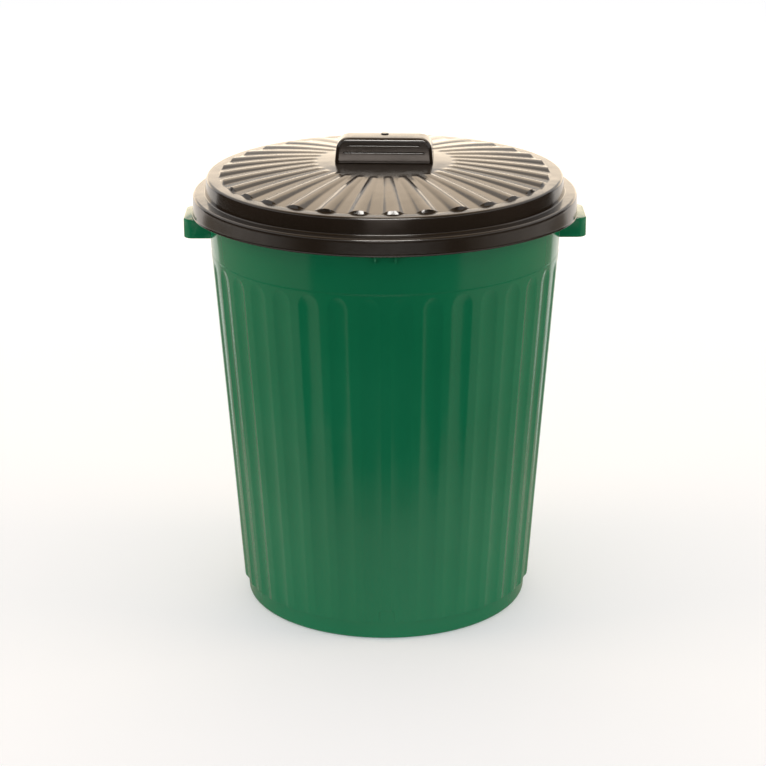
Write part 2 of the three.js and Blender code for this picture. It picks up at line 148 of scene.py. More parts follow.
GATE_RADIUS = 5 * MM           # small round moulding mark on the grip's top
GATE_HEIGHT = 1.2 * MM
GATE_ROUND = 0.4 * MM
GATE_BACK = 9 * MM             # how far it lies behind the grip's middle
CLIP_THICKNESS = 3 * MM        # clips that hold the handles and the grip from inside
CLIP_WIDTH = 12 * MM
CLIP_HOOK = 1.8 * MM
CLIP_HOOK_FLAT = 1.5 * MM
CLIP_NOSE = 6 * MM
CLIP_SLACK = 0.6 * MM
HANDLE_CLIP_SPACING = 44 * MM
GRIP_CLIP_SPACING = 64 * MM

# ------------------------------------------------------------------------------------------------
# Mesh helpers


def smooth_step(low, high, value):
    share = np.clip((np.asarray(value, float) - low) / (high - low), 0, 1)
    return share * share * (3 - 2 * share)


def soft_positive(value, softness):
    """The value where it is positive and 0 elsewhere, with a rounded change between them."""
    return (value + np.sqrt(value * value + softness * softness)) / 2


def arc(centre_r, centre_z, radius, start, stop, steps):
    """Points (r, z) of a rounded corner, turning about its centre between two angles in degrees."""
    turns = np.radians(np.linspace(start, stop, steps + 1))
    return [(centre_r + radius * math.cos(t), centre_z + radius * math.sin(t)) for t in turns]


def make_object(name, points, faces, sharp_degrees=38):
    mesh = bpy.data.meshes.new(name)
    mesh.from_pydata(points, [], faces)
    facing = bmesh.new()
    facing.from_mesh(mesh)
    bmesh.ops.recalc_face_normals(facing, faces=facing.faces)
    facing.to_mesh(mesh)
    facing.free()
    mesh.shade_smooth()
    mesh.set_sharp_from_angle(angle=math.radians(sharp_degrees))
    mesh.validate()
    piece = bpy.data.objects.new(name, mesh)
    bpy.context.scene.collection.objects.link(piece)
    return piece


def grid_faces(rows, columns):
    """Quads between neighbouring rows of points that each close on themselves."""
    row, column = np.meshgrid(np.arange(rows - 1), np.arange(columns), indexing="ij")
    after = (column + 1) % columns
    here, above = row * columns, (row + 1) * columns
    quads = np.stack([here + column, here + after, above + after, above + column], axis=-1)
    return quads.reshape(-1, 4)


def polar_skin(angles, rings):
    """A closed skin through rings (radius, z), from a point on the axis back to one on it."""
    around = len(angles)
    points = [(0, 0, float(np.mean(rings[0][1])))]
    body = np.empty((len(rings), around, 3))
    for i, (radius, height) in enumerate(rings):
        body[i, :, 0] = radius * np.cos(angles)
        body[i, :, 1] = radius * np.sin(angles)
        body[i, :, 2] = height
    points += body.reshape(-1, 3).tolist()
    points.append((0, 0, float(np.mean(rings[-1][1]))))
    faces = (grid_faces(len(rings), around) + 1).tolist()
    last = 1 + (len(rings) - 1) * around
    for i in range(around):
        after = (i + 1) % around
        faces.append((0, 1 + after, 1 + i))
        faces.append((len(points) - 1, last + i, last + after))
    return points, faces


def loft(outlines):
    """A closed body through a stack of outlines with the same number of points, lowest first."""
    count = len(outlines[0])
    points = [tuple(p) for outline in outlines for p in outline]
    faces = grid_faces(len(outlines), count).tolist()
    faces.append(tuple(range(count - 1, -1, -1)))
    last = (len(outlines) - 1) * count
    faces.append(tuple(range(last, last + count)))
    return points, faces


def joined(parts):
    """Several bodies as one list of points and faces."""
    points = []
    faces = []
    for more_points, more_faces in parts:
        offset = len(points)
        points += list(more_points)
        faces += [[index + offset for index in face] for face in more_faces]
    return points, faces


def turned(points, angle):
    c, s = math.cos(angle), math.sin(angle)
    return [(x * c - y * s, x * s + y * c, z) for x, y, z in points]


# ------------------------------------------------------------------------------------------------
# Bin

FRONT = -math.pi / 2


def land_radius(z):
    return FOOT_RADIUS + DRAFT * z


def collar_radius(z):
    return land_radius(z) - COLLAR_STEP


def band_radius(z):
    return land_radius(z) - BAND_INSET


def bin_angles():
    """Even steps around the bin, with finer ones across the mark at the front."""
    count = FLUTES * FLUTE_STEPS
    even = np.arange(count) / count * 2 * math.pi - math.pi
    half = 1.4 * MARK_WIDTH / 2 / FOOT_RADIUS
    away = even[np.abs(even - FRONT) > half]
    return np.sort(np.concatenate([away, FRONT + np.linspace(-half, half, MARK_STEPS + 1)]))


def recess(angles, z):
    """How far the wall lies below its lands: in the flutes, at their foot and inside the mark."""
    turns = angles / (2 * math.pi) * FLUTES
    from_middle = np.abs(turns - np.floor(turns) - 0.5)
    across = from_middle / ((1 - LAND_SHARE) / 2)
    up = max(0, (z - (FLUTE_TOP - FLUTE_ARCH)) / FLUTE_ARCH)
    flute = soft_positive(1 - across ** 2 - up ** 2, FLUTE_EDGE)
    if z > FLUTE_TOP:
        flute = flute * float(1 - smooth_step(FLUTE_TOP, COLLAR_START, z))
    wall = FLUTE_DEPTH * np.maximum(np.minimum(flute, 1), mark(angles, z))
    foot = BAND_INSET * float(1 - smooth_step(BAND_HEIGHT, BAND_HEIGHT + BAND_EDGE, z))
    return np.maximum(wall, foot)


def mark(angles, z):
    """The small arch at the front, 1 inside it and 0 outside."""
    sideways = np.abs(angles - FRONT) * land_radius(z)
    corner_side = np.maximum(sideways - (MARK_WIDTH / 2 - MARK_CORNER), 0)
    corner_up = max(z - (MARK_TOP - MARK_CORNER), 0)
    outside = np.hypot(corner_side, corner_up) - MARK_CORNER
    return 1 - smooth_step(-MARK_EDGE, MARK_EDGE, outside)


def wall_heights():
    """Heights of the rings of the fluted wall, close together where its shape changes."""
    foot = np.linspace(BAND_HEIGHT, BAND_HEIGHT + 1.1 * BAND_EDGE, 9)
    mark_sides = np.linspace(BAND_HEIGHT + 4 * MM, MARK_TOP - MARK_CORNER, 6)
    mark_top = np.linspace(MARK_TOP - MARK_CORNER + 0.5 * MM, MARK_TOP + 1 * MM, 16)
    plain = np.linspace(MARK_TOP + 15 * MM, FLUTE_TOP - FLUTE_ARCH - 8 * MM, 14)
    arches = np.linspace(FLUTE_TOP - FLUTE_ARCH - 2 * MM, FLUTE_TOP + 2 * MM, 26)
    return np.concatenate([foot, mark_sides, mark_top, plain, arches, [COLLAR_START - 0.6 * MM]])


def rim_rings(under_rim):
    """The rim's underside, its turned-down edge, its top and the rounding into the mouth."""
    fillet = RIM_FILLET
    rings = arc(collar_radius(under_rim) + fillet, under_rim - fillet, fillet, 180, 90, 4)
    apron_inside = RIM_RADIUS - RIM_THICKNESS
    rings += arc(apron_inside - fillet, under_rim - fillet, fillet, 90, 0, 4)
    half_apron = RIM_THICKNESS / 2
    apron_bottom = BIN_HEIGHT - APRON_DEPTH
    rings += arc(RIM_RADIUS - half_apron, apron_bottom + half_apron, half_apron, 180, 360, 8)
    rings += arc(RIM_RADIUS - RIM_OUTER_ROUND, BIN_HEIGHT - RIM_OUTER_ROUND, RIM_OUTER_ROUND, 0, 90, 6)
    mouth = collar_radius(BIN_HEIGHT) - BIN_WALL
    rings += arc(mouth + RIM_INNER_ROUND, BIN_HEIGHT - RIM_INNER_ROUND, RIM_INNER_ROUND, 90, 180, 6)
    return rings


def bin_shell_skin():
    """The bin's skin, from the middle of the floor's underside up the outside and down the inside."""
    angles = bin_angles()
    foot_bottom = band_radius(FOOT_CORNER) - FOOT_CORNER
    under_rim = BIN_HEIGHT - RIM_THICKNESS
    heights = wall_heights()

    def fluted(z, inset):
        return (land_radius(z) - inset - recess(angles, z), z)

    rings = [
        (FOOT_CORNER, FLOOR_HEIGHT),
        (foot_bottom - FOOT_RING_WIDTH - FLOOR_HEIGHT, FLOOR_HEIGHT),
        (foot_bottom - FOOT_RING_WIDTH, 0),
    ]
    rings += arc(foot_bottom, FOOT_CORNER, FOOT_CORNER, -90, 0, 10)
    rings += [(band_radius(z), z) for z in np.linspace(12 * MM, BAND_HEIGHT - 0.4 * MM, 4)]
    rings += [fluted(z, 0) for z in heights]
    collar_end = COLLAR_START + COLLAR_RISE
    for z in np.linspace(COLLAR_START, collar_end, 9):
        rings.append((land_radius(z) - COLLAR_STEP * float(smooth_step(COLLAR_START, collar_end, z)), z))
    collar_heights = np.linspace(collar_end + 1 * MM, under_rim - 2 * MM, 8)
    rings += [(collar_radius(z), z) for z in collar_heights]
    rings += rim_rings(under_rim)
    rings += [(collar_radius(z) - BIN_WALL, z) for z in collar_heights[::-1]]
    inner_heights = heights[heights > BAND_HEIGHT + 2 * MM + BIN_WALL][::-1]
    rings += [fluted(z, BIN_WALL) for z in inner_heights]
    rings += [(band_radius(BAND_HEIGHT) - BIN_WALL, BAND_HEIGHT)]
    rings += arc(foot_bottom - BIN_WALL, FOOT_CORNER + FLOOR_HEIGHT + BIN_WALL, FOOT_CORNER, 0, -90, 8)
    rings.append((FOOT_CORNER, FLOOR_HEIGHT + BIN_WALL))
    return polar_skin(angles, rings)


def gusset_bodies():
    """Two short ribs between the collar and the rim's turned-down edge, at the front and the back."""
    low = BIN_HEIGHT - GUSSET_DEPTH
    top = BIN_HEIGHT - RIM_THICKNESS / 2
    outer = RIM_RADIUS - RIM_THICKNESS / 2
    inner = collar_radius(low) - BIN_WALL / 2
    side = [(inner, low), (outer, low + GUSSET_SLANT), (outer, top), (inner, top)]
    bodies = []
    for quarter in (FRONT, -FRONT):
        for place in (-GUSSET_SPACING / 2, GUSSET_SPACING / 2):
            half = GUSSET_THICKNESS / 2
            outlines = [[(r, place + t, z) for r, z in side] for t in (-half, half)]
            points, faces = loft(outlines)
            bodies.append((turned(points, quarter), faces))
    return bodies


def make_bin():
    points, faces = joined([bin_shell_skin()] + gusset_bodies())
    piece = make_object("bin_shell", points, faces)
    piece.data.materials.append(green_plastic())
    finish_piece(piece, "bin", "bin_body")


# ------------------------------------------------------------------------------------------------
# Side handles


def handle_outline(inset, corner, wall_gap, z):
    """The handle's outline at a height: three straight sides, and one that follows the bin's wall."""
    half = handle_high.y - inset
    end = handle_high.x - inset
    wall = collar_radius(z) + wall_gap
    points = []
    for centre_y, first in ((-half + corner, -90), (half - corner, 0)):
        for t in np.radians(np.linspace(first, first + 90, 13)):
            points.append((end - corner + corner * math.cos(t), centre_y + corner * math.sin(t), z))
    for y in np.linspace(half, -half, 25):
        points.append((math.sqrt(wall * wall - y * y), y, z))
    return points


def handle_body():
    """Outlines from the hollow's roof down to its mouth, and from there up the outside to the top."""
    low, high = handle_low.z, handle_high.z
    roof = high - HANDLE_WALL
    mouth = low + HANDLE_MOUTH
    inner_corner = HANDLE_CORNER - HANDLE_WALL
    outlines = []
    for z in (roof, roof - 1 * MM, low + 1.2 * MM, mouth, low):
        inset = HANDLE_WALL - HANDLE_FLARE * (z <= mouth)
        outlines.append(handle_outline(inset, inner_corner, SEAT_GAP + inset, z))
    for t in np.radians(np.linspace(0, 90, 6)):
        inset = HANDLE_EDGE * (1 - math.sin(t))
        z = low + HANDLE_EDGE * (1 - math.cos(t))
        outlines.append(handle_outline(inset, HANDLE_CORNER - inset, SEAT_GAP, z))
    for t in np.radians(np.linspace(0, 90, 6)):
        inset = HANDLE_EDGE * (1 - math.cos(t))
        z = high - HANDLE_EDGE * (1 - math.sin(t))
        outlines.append(handle_outline(inset, HANDLE_CORNER - inset, SEAT_GAP, z))
    return loft(outlines)


def clip_body(root, grip, side, place):
    """A flat tongue with a hook, drawn along and across it and put in place by a function."""
    half = CLIP_THICKNESS / 2
    tip = half + CLIP_HOOK
    nose = -grip - CLIP_NOSE
    outline = [(root, -half), (nose, -half), (nose, half), (-grip - CLIP_HOOK_FLAT, tip)]
    outline += [(-grip, tip), (-grip, half), (root, half)]
    widths = (-CLIP_WIDTH / 2, CLIP_WIDTH / 2)
    return loft([[place(along, side * across, width) for along, across in outline] for width in widths])


def handle_clips():
    z = (handle_low.z + handle_high.z) / 2
    bodies = []
    for y in (-HANDLE_CLIP_SPACING / 2, HANDLE_CLIP_SPACING / 2):
        wall = math.sqrt(collar_radius(z) ** 2 - y ** 2)

        def place(along, across, width):
            return (wall + along, y + width, z - across)

        bodies.append(clip_body(HANDLE_WALL, BIN_WALL + CLIP_SLACK + SEAT_GAP, 1, place))
    return bodies


def make_handles():
    points, faces = joined([handle_body()] + handle_clips())
    for side, turn in (("right", 0), ("left", math.pi)):
        piece = make_object("handle_" + side, turned(points, turn), faces)
        piece.data.materials.append(green_plastic())
        finish_piece(piece, "bin", "side_handle_" + side)


# ------------------------------------------------------------------------------------------------
# Lid

SKIRT_TOP_RADIUS = RIM_RADIUS + SKIRT_CLEARANCE + LID_WALL
FLANGE_Z = BIN_HEIGHT + SEAT_GAP + LID_WALL
SKIRT_BOTTOM_Z = FLANGE_Z - SKIRT_DEPTH
RING_FOOT_RADIUS = SKIRT_TOP_RADIUS - FLANGE_WIDTH
RING_TOP_RADIUS = RING_FOOT_RADIUS - RING_DRAFT
RING_TOP_Z = FLANGE_Z + RING_HEIGHT
PANEL_RADIUS = RING_TOP_RADIUS - RING_WIDTH
DISC_Z = RING_TOP_Z + DOME_RISE


def dome_height(radius):
    share = (radius ** 2 - DISC_RADIUS ** 2) / (PANEL_RADIUS ** 2 - DISC_RADIUS ** 2)
    return DISC_Z - DOME_RISE * max(0, share)


def ridge_shape(angles):
    turns = angles / (2 * math.pi) * RIDGES
    from_middle = np.abs(turns - np.floor(turns) - 0.5) / (RIDGE_SHARE / 2)
    return soft_positive(1 - from_middle ** 2, RIDGE_EDGE)


def ridge_share(radius):
    """Height of a ridge at a radius, as a share of its full height."""
    along = max(0, (radius - RIDGE_INNER) / (PANEL_RADIUS - RIDGE_INNER))
    inner = float(smooth_step(RIDGE_INNER - 1 * MM, RIDGE_INNER + RIDGE_RISE, radius))
    outer = min(1, max(0, (PANEL_RADIUS - radius) / RIDGE_END))
    return inner * (RIDGE_START + (1 - RIDGE_START) * along ** RIDGE_GROWTH) * outer


def lid_skin():
    """The lid's skin, from the middle of its underside out to the skirt and back over the top."""
    count = RIDGES * RIDGE_STEPS
    angles = np.arange(count) / count * 2 * math.pi
    dip = SKIRT_DIP * np.abs(np.cos(angles)) ** SKIRT_DIP_POWER

    def panel(radius, drop):
        ridges = RIDGE_HEIGHT * ridge_share(radius) * ridge_shape(angles)
        return (radius, dome_height(radius) - drop + ridges)

    panel_radii = np.concatenate([
        PANEL_RADIUS - RIDGE_END * np.array([0, 0.25, 0.5, 0.75, 1, 1.15, 1.5, 2.4, 4]),
        np.linspace(PANEL_RADIUS - 12 * MM, RIDGE_INNER + 22 * MM, 14),
        np.linspace(RIDGE_INNER + 18 * MM, RIDGE_INNER - 1 * MM, 14),
        [RIDGE_INNER - 6 * MM, DISC_RADIUS + 6 * MM, DISC_RADIUS, DISC_RADIUS - 25 * MM, 20 * MM],
    ])
    skirt_foot = SKIRT_TOP_RADIUS + SKIRT_FLARE
    lip_radius = skirt_foot + LIP_REACH

    # Underside, from the middle outwards.
    rings = [panel(radius, LID_WALL) for radius in panel_radii[::-1]]
    rings.append((RING_TOP_RADIUS - EDGE_ROUND, RING_TOP_Z - LID_WALL))
    rings.append((RING_TOP_RADIUS - LID_WALL, RING_TOP_Z - EDGE_ROUND))
    rings.append((RING_FOOT_RADIUS - LID_WALL, FLANGE_Z - LID_WALL))
    rings.append((SKIRT_TOP_RADIUS - EDGE_ROUND, FLANGE_Z - LID_WALL))
    rings.append((SKIRT_TOP_RADIUS - LID_WALL, FLANGE_Z - EDGE_ROUND))
    rings.append((skirt_foot - LID_WALL, SKIRT_BOTTOM_Z - dip))
    # Skirt, with a small lip along its bottom edge.
    for radius, z in arc(lip_radius - LIP_ROUND, SKIRT_BOTTOM_Z + LIP_ROUND, LIP_ROUND, -90, 0, 4):
        rings.append((radius, z - dip))
    for share in np.linspace(LIP_FLAT, 1, 7):
        radius = skirt_foot + LIP_REACH * float(1 - smooth_step(LIP_FLAT, 1, share))
        rings.append((radius, SKIRT_BOTTOM_Z + LIP_HEIGHT * share - dip))
    skirt_span = SKIRT_DEPTH - EDGE_ROUND - LIP_HEIGHT
    for share in np.linspace(0.12, 0.92, 9):
        z = SKIRT_BOTTOM_Z + LIP_HEIGHT + skirt_span * share
        rings.append((SKIRT_TOP_RADIUS + SKIRT_FLARE * (1 - share), z - dip * (1 - share)))
    rings += arc(SKIRT_TOP_RADIUS - EDGE_ROUND, FLANGE_Z - EDGE_ROUND, EDGE_ROUND, 8, 90, 10)
    # Flange and raised ring.
    rings += arc(RING_FOOT_RADIUS + RING_FILLET, FLANGE_Z + RING_FILLET, RING_FILLET, 270, 180, 6)
    rings += arc(RING_TOP_RADIUS - EDGE_ROUND, RING_TOP_Z - EDGE_ROUND, EDGE_ROUND, 5, 90, 10)
    rings.append((PANEL_RADIUS + 0.8 * MM, RING_TOP_Z))
    rings += [panel(radius, 0) for radius in panel_radii]
    return polar_skin(angles, rings)


def make_lid():
    points, faces = lid_skin()
    piece = make_object("lid_shell", turned(points, LID_TURN), faces)
    piece.data.materials.append(black_plastic())
    finish_piece(piece, "lid", "lid")


# ------------------------------------------------------------------------------------------------
# Grip

GRIP_Z = DISC_Z + SEAT_GAP


def drawn_in(radius, share):
    """How far a rounding has drawn a face in, at a share of the way round it."""
    return radius * (1 - math.sqrt(max(0, 1 - share ** 2)))


def grip_half_sizes(height):
    """Half the grip's length and half its depth at a height above the disc."""
    end = max(0, height - (GRIP_HEIGHT - GRIP_END_ROUND)) / GRIP_END_ROUND
    top = max(0, height - (GRIP_HEIGHT - GRIP_TOP_ROUND)) / GRIP_TOP_ROUND
    lean = height / GRIP_HEIGHT
    foot = drawn_in(GRIP_FOOT_ROUND, max(0, 1 - height / GRIP_FOOT_ROUND))
    face_lean = GRIP_FACE_LEAN * lean ** GRIP_FACE_BULGE
    return (
        GRIP_LENGTH / 2 - GRIP_SIDE_LEAN * lean - drawn_in(GRIP_END_ROUND, end) - foot,
        GRIP_DEPTH / 2 - face_lean - drawn_in(GRIP_TOP_ROUND, top) - foot,
    )


def groove_depth(x, height):
    """How deep the finger grooves are at a place on a long face."""
    depth = 0
    for groove_height, length in GROOVES:
        beyond = max(0, abs(x) - (length / 2 - GROOVE_RADIUS))
        away = math.hypot(beyond, height - groove_height)
        if away < GROOVE_RADIUS:
            depth = max(depth, math.sqrt(GROOVE_RADIUS ** 2 - away ** 2))
    return depth


def grip_ring(height):
    """The grip's outline at a height: round corners, and long faces with the grooves pressed in."""
    half_length, half_depth = grip_half_sizes(height)
    corner = min(GRIP_CORNER, half_depth - 1 * MM, half_length - 1 * MM)
    points = []
    for side_x, side_y, first in ((1, -1, -90), (1, 1, 0), (-1, 1, 90), (-1, -1, 180)):
        for t in np.radians(np.linspace(first, first + 90, 11)):
            points.append((
                side_x * (half_length - corner) + corner * math.cos(t),
                side_y * (half_depth - corner) + corner * math.sin(t),
            ))
        if side_x == side_y:
            run = half_length - corner
            points += [(side_x * x, side_y * half_depth) for x in np.linspace(run, -run, 92)[1:-1]]
    ring = []
    for x, y in points:
        on_face = abs(abs(y) - half_depth) < TINY
        depth = groove_depth(x, height) if on_face else 0
        ring.append((x, y - math.copysign(depth, y), GRIP_Z + height))
    return ring


def grip_heights():
    heights = [0, 0.15 * MM, 0.4 * MM, 0.7 * MM, 1 * MM, 4 * MM, 8 * MM, 11 * MM]
    for groove_height, _ in GROOVES:
        heights += list(groove_height + np.linspace(-1, 1, 13) * 1.05 * GROOVE_RADIUS)
    top = GRIP_HEIGHT - GRIP_TOP_ROUND
    heights += [17 * MM, 18 * MM, 19 * MM, 25.5 * MM, 26.7 * MM]
    heights += [top + GRIP_TOP_ROUND * math.sin(t) for t in np.radians(np.linspace(5, 90, 14))]
    return sorted(heights)


def gate_mark():
    """The small round mark that moulding leaves on the grip's top."""
    sides = 48
    turns = np.arange(sides) / sides * 2 * math.pi
    top = GRIP_Z + GRIP_HEIGHT + GATE_HEIGHT
    profile = [(GATE_RADIUS, top - 2 * GATE_HEIGHT)]
    profile += arc(GATE_RADIUS - GATE_ROUND, top - GATE_ROUND, GATE_ROUND, 0, 90, 5)
    across, along = np.cos(turns), np.sin(turns)
    return loft([[(r * x, GATE_BACK + r * y, z) for x, y in zip(across, along)] for r, z in profile])


def grip_clips():
    bodies = []
    for side in (-1, 1):
        def place(along, across, width):
            return (side * GRIP_CLIP_SPACING / 2 - across, width, GRIP_Z + along)

        bodies.append(clip_body(GRIP_HEIGHT / 2, LID_WALL + 2 * SEAT_GAP, side, place))
    return bodies


def make_grip():
    block = loft([grip_ring(height) for height in grip_heights()])
    points, faces = joined([block, gate_mark()] + grip_clips())
    piece = make_object("grip_block", turned(points, LID_TURN), faces)
    piece.data.materials.append(black_plastic())
    finish_piece(piece, "lid", "lid_grip")


# ------------------------------------------------------------------------------------------------
# Materials

# Each plastic's own colour, its paler patches and its worn edges.
GREEN_COLOURS = ((0.004, 0.128, 0.055), (0.006, 0.138, 0.061), (0.05, 0.24, 0.13))
BLACK_COLOURS = ((0.013, 0.009, 0.006), (0.017, 0.012, 0.008), (0.06, 0.048, 0.036))
GREEN_ROUGHNESS = 0.12
BLACK_ROUGHNESS = 0.13
SMUDGE_ROUGHNESS = 0.07        # what smudges, scratches and wear each add to it at most
SCRATCH_ROUGHNESS = 0.12
WEAR_ROUGHNESS = 0.2
WAVE_DEPTH = 0.9 * MM          # of the slow waves in the surface, and of its fine peel
PEEL_DEPTH = 0.01 * MM


def new_material(name):
    material = bpy.data.materials.new(name)
    material.use_nodes = True
    tree = material.node_tree
    tree.nodes.clear()
    return material, tree


def node(tree, kind, **settings):
    made = tree.nodes.new(kind)
    for key, value in settings.items():
        setattr(made, key, value)
    return made


def noise(tree, place, scale, detail, roughness=0.5, stretch=None):
    made = node(tree, "ShaderNodeTexNoise")
    made.inputs["Scale"].default_value = scale
    made.inputs["Detail"].default_value = detail
    made.inputs["Roughness"].default_value = roughness
    if stretch:
        mapping = node(tree, "ShaderNodeMapping")
        mapping.inputs["Scale"].default_value = stretch
        tree.links.new(place, mapping.inputs["Vector"])
        place = mapping.outputs["Vector"]
    tree.links.new(place, made.inputs["Vector"])
    return made.outputs["Fac"]


def remap(tree, value, low, high, to_low, to_high):
    made = node(tree, "ShaderNodeMapRange")
    limits = {"From Min": low, "From Max": high, "To Min": to_low, "To Max": to_high}
    for socket, number in limits.items():
        made.inputs[socket].default_value = number
    tree.links.new(value, made.inputs["Value"])
    return made.outputs["Result"]


def math_node(tree, operation, first, second):
    made = node(tree, "ShaderNodeMath", operation=operation)
    for socket, value in zip(made.inputs, (first, second)):
        if isinstance(value, (int, float)):
            socket.default_value = value
        else:
            tree.links.new(value, socket)
    return made.outputs["Value"]


def mix_colours(tree, factor, first, second):
    made = node(tree, "ShaderNodeMix", data_type="RGBA")
    tree.links.new(factor, made.inputs[0])
    for socket, value in ((made.inputs[6], first), (made.inputs[7], second)):
        if isinstance(value, tuple):
            socket.default_value = (*value, 1)
        else:
            tree.links.new(value, socket)
    return made.outputs[2]


def add_bump(tree, height, distance, before=None):
    made = node(tree, "ShaderNodeBump")
    made.inputs["Strength"].default_value = 1
    made.inputs["Distance"].default_value = distance
    tree.links.new(height, made.inputs["Height"])
    if before is not None:
        tree.links.new(before, made.inputs["Normal"])
    return made.outputs["Normal"]


def moulded_plastic(name, colours, least_roughness):
    """Glossy moulded plastic: slow waves and a fine peel in the surface, faint rubs, and worn edges."""
    colour, paler, worn = colours
    material, tree = new_material(name)
    place = node(tree, "ShaderNodeTexCoord").outputs["Object"]
    shader = node(tree, "ShaderNodeBsdfPrincipled")
    shader.inputs["IOR"].default_value = 1.5

    patches = remap(tree, noise(tree, place, 6, 3), 0.35, 0.65, 0, 1)
    tint = mix_colours(tree, patches, colour, paler)
    point = node(tree, "ShaderNodeNewGeometry").outputs["Pointiness"]
    edges = remap(tree, point, 0.52, 0.6, 0, 1)
    rubs = remap(tree, noise(tree, place, 90, 4, 0.65), 0.5, 0.75, 0, 1)
    wear = math_node(tree, "MULTIPLY", edges, rubs)
    tree.links.new(mix_colours(tree, wear, tint, worn), shader.inputs["Base Color"])

    most_roughness = least_roughness + SMUDGE_ROUGHNESS
    blotches = noise(tree, place, 14, 5, 0.6)
    smudges = remap(tree, blotches, 0.3, 0.75, least_roughness, most_roughness)
    streaks = noise(tree, place, 40, 6, 0.7, stretch=(9, 9, 1))
    scratches = remap(tree, streaks, 0.62, 0.8, 0, SCRATCH_ROUGHNESS)
    roughness = math_node(tree, "ADD", smudges, scratches)
    worn_roughness = math_node(tree, "MULTIPLY", wear, WEAR_ROUGHNESS)
    roughness = math_node(tree, "ADD", roughness, worn_roughness)
    tree.links.new(roughness, shader.inputs["Roughness"])

    normal = add_bump(tree, noise(tree, place, 16, 2, 0.4), WAVE_DEPTH)
    normal = add_bump(tree, noise(tree, place, 700, 2, 0.5), PEEL_DEPTH, normal)
    tree.links.new(normal, shader.inputs["Normal"])

    output = node(tree, "ShaderNodeOutputMaterial")
    tree.links.new(shader.outputs["BSDF"], output.inputs["Surface"])
    return material


def green_plastic():
    name = "green_plastic"
    return bpy.data.materials.get(name) or moulded_plastic(name, GREEN_COLOURS, GREEN_ROUGHNESS)


def black_plastic():
    name = "black_plastic"
    return bpy.data.materials.get(name) or moulded_plastic(name, BLACK_COLOURS, BLACK_ROUGHNESS)


# ------------------------------------------------------------------------------------------------
# Pieces of the object


def finish_piece(piece, body, cad_node):
    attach(piece, body)
    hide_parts(cad_node)


# ------------------------------------------------------------------------------------------------
# Studio

SURROUND_LIGHT = 0.58          # of the white surround, where it is not seen directly
FLOOR_COLOUR = (0.60, 0.66, 0.77)      # near the bin, where the lamps are warm
FAR_FLOOR_COLOUR = (0.97, 0.97, 0.97)
FLOOR_GLOW = 0.3               # of the floor's own light, where it is seen
FLOOR_BOUNCE = 0.8             # of the light that it sends up to the bin besides
NEAR_GLOW = (1, 1, 1)          # tint of that light near the bin
FAR_GLOW = (1.3, 1.35, 1.4)    # and behind the lamps, which don't light the floor there
FLOOR_HALF = 8                 # half the length of the floor's sides
NEAR_GREY = 0.5                # of the cards on the floor, close to the bin and further off
CARD_GREY = 0.26
DARK_GREY = 0.01
CARD_LIFT = 1 * MM             # between the floor and each card that lies on it
LAMP_TARGET = (0, 0, 0.45)     # the place that every lamp faces


def white_where_seen(tree, seen, unseen):
    """One strength for camera, glossy and transmission rays, and another for the rest."""
    path = node(tree, "ShaderNodeLightPath")
    direct = math_node(tree, "MAXIMUM", path.outputs["Is Camera Ray"], path.outputs["Is Glossy Ray"])
    any_seen = math_node(tree, "MAXIMUM", direct, path.outputs["Is Transmission Ray"])
    return remap(tree, any_seen, 0, 1, unseen, seen)


def make_world():
    """A white surround for the camera and for reflections, and a softer light for the rest."""
    world = bpy.data.worlds.new("studio")
    bpy.context.scene.world = world
    world.use_nodes = True
    tree = world.node_tree
    tree.nodes.clear()
    background = node(tree, "ShaderNodeBackground")
    background.inputs["Color"].default_value = (1, 1, 1, 1)
    tree.links.new(white_where_seen(tree, 1.0, SURROUND_LIGHT), background.inputs["Strength"])
    output = node(tree, "ShaderNodeOutputWorld")
    tree.links.new(background.outputs["Background"], output.inputs["Surface"])


def stage_surface(name, corners, faces, material):
    mesh = bpy.data.meshes.new(name)
    mesh.from_pydata(corners, [], faces)
    mesh.materials.append(material)
    surface = bpy.data.objects.new(name, mesh)
    bpy.context.scene.collection.objects.link(surface)
    return surface


def distance_share(tree, near, far, directions=(1, 1, 0)):
    """0 near the bin and 1 far from it, by the distance measured along some directions."""
    place = node(tree, "ShaderNodeTexCoord").outputs["Object"]
    measured = node(tree, "ShaderNodeVectorMath", operation="MULTIPLY")
    measured.inputs[1].default_value = directions
    tree.links.new(place, measured.inputs[0])
    distance = node(tree, "ShaderNodeVectorMath", operation="LENGTH")
    tree.links.new(measured.outputs["Vector"], distance.inputs[0])
    return remap(tree, distance.outputs["Value"], near, far, 0, 1)


def make_floor():
    """A pale floor that keeps the shadow: a little of its own light makes it white where it is lit."""
    material, tree = new_material("pale_floor")
    diffuse = node(tree, "ShaderNodeBsdfDiffuse")
    colour = mix_colours(tree, distance_share(tree, 1.2, 4), FLOOR_COLOUR, FAR_FLOOR_COLOUR)
    tree.links.new(colour, diffuse.inputs["Color"])
    glow = node(tree, "ShaderNodeEmission")
    tint = mix_colours(tree, distance_share(tree, 2.2, 3.2), NEAR_GLOW, FAR_GLOW)
    tree.links.new(tint, glow.inputs["Color"])
    tree.links.new(white_where_seen(tree, FLOOR_GLOW, FLOOR_BOUNCE), glow.inputs["Strength"])
    both = node(tree, "ShaderNodeAddShader")
    tree.links.new(diffuse.outputs["BSDF"], both.inputs[0])
    tree.links.new(glow.outputs["Emission"], both.inputs[1])
    output = node(tree, "ShaderNodeOutputMaterial")
    tree.links.new(both.outputs["Shader"], output.inputs["Surface"])
    half = FLOOR_HALF
    corners = [(-half, -half, 0), (half, -half, 0), (half, half, 0), (-half, half, 0)]
    stage_surface("floor", corners, [(0, 1, 2, 3)], material)


